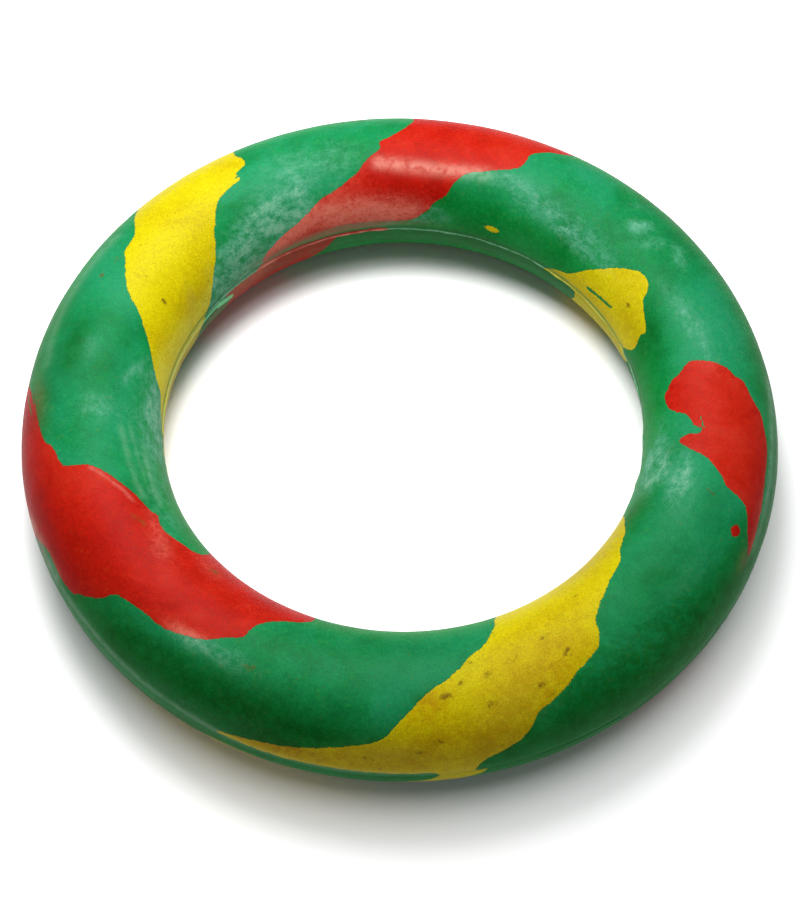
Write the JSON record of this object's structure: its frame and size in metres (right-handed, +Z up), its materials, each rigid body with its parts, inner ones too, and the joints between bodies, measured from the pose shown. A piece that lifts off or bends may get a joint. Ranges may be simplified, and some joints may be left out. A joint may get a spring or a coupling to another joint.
{
  "type": "juggling ring",
  "caption": "Thick round rubber ring for throwing, juggling and ring tennis: a hollow tube bent into a closed ring, in marbled green, red and yellow.",
  "frame": {"origin": "centre of the ring, in the plane of the seam between its two halves", "axes": "+Z up along the ring's axis, out of the upper half; +X to the right and +Y to the back of the ring as it lies"},
  "size_m": [0.18, 0.1798, 0.0324],
  "materials": {
    "green_rubber": "semi-gloss moulded rubber, green, with pale bloom",
    "red_rubber": "semi-gloss moulded rubber, red, with pale bloom",
    "yellow_rubber": "semi-gloss moulded rubber, yellow, with brown specks"
  },
  "bodies": {
    "root": {"green_upper_shell": "green_rubber", "green_lower_shell": "green_rubber", "red_stripe_back": "red_rubber", "red_sliver_in_hole": "red_rubber", "red_stripe_left": "red_rubber", "red_patch_right": "red_rubber", "red_fleck_right": "red_rubber", "lower_red_stripe_right": "red_rubber", "lower_red_stripe_back": "red_rubber", "lower_red_stripe_front": "red_rubber", "yellow_stripe_left": "yellow_rubber", "yellow_stripe_front": "yellow_rubber", "yellow_patch_in_hole": "yellow_rubber", "yellow_fleck_back": "yellow_rubber", "lower_yellow_patch_right": "yellow_rubber", "lower_yellow_stripe_back": "yellow_rubber", "lower_yellow_stripe_left": "yellow_rubber", "lower_yellow_stripe_front": "yellow_rubber"}
  },
  "joints": []
}
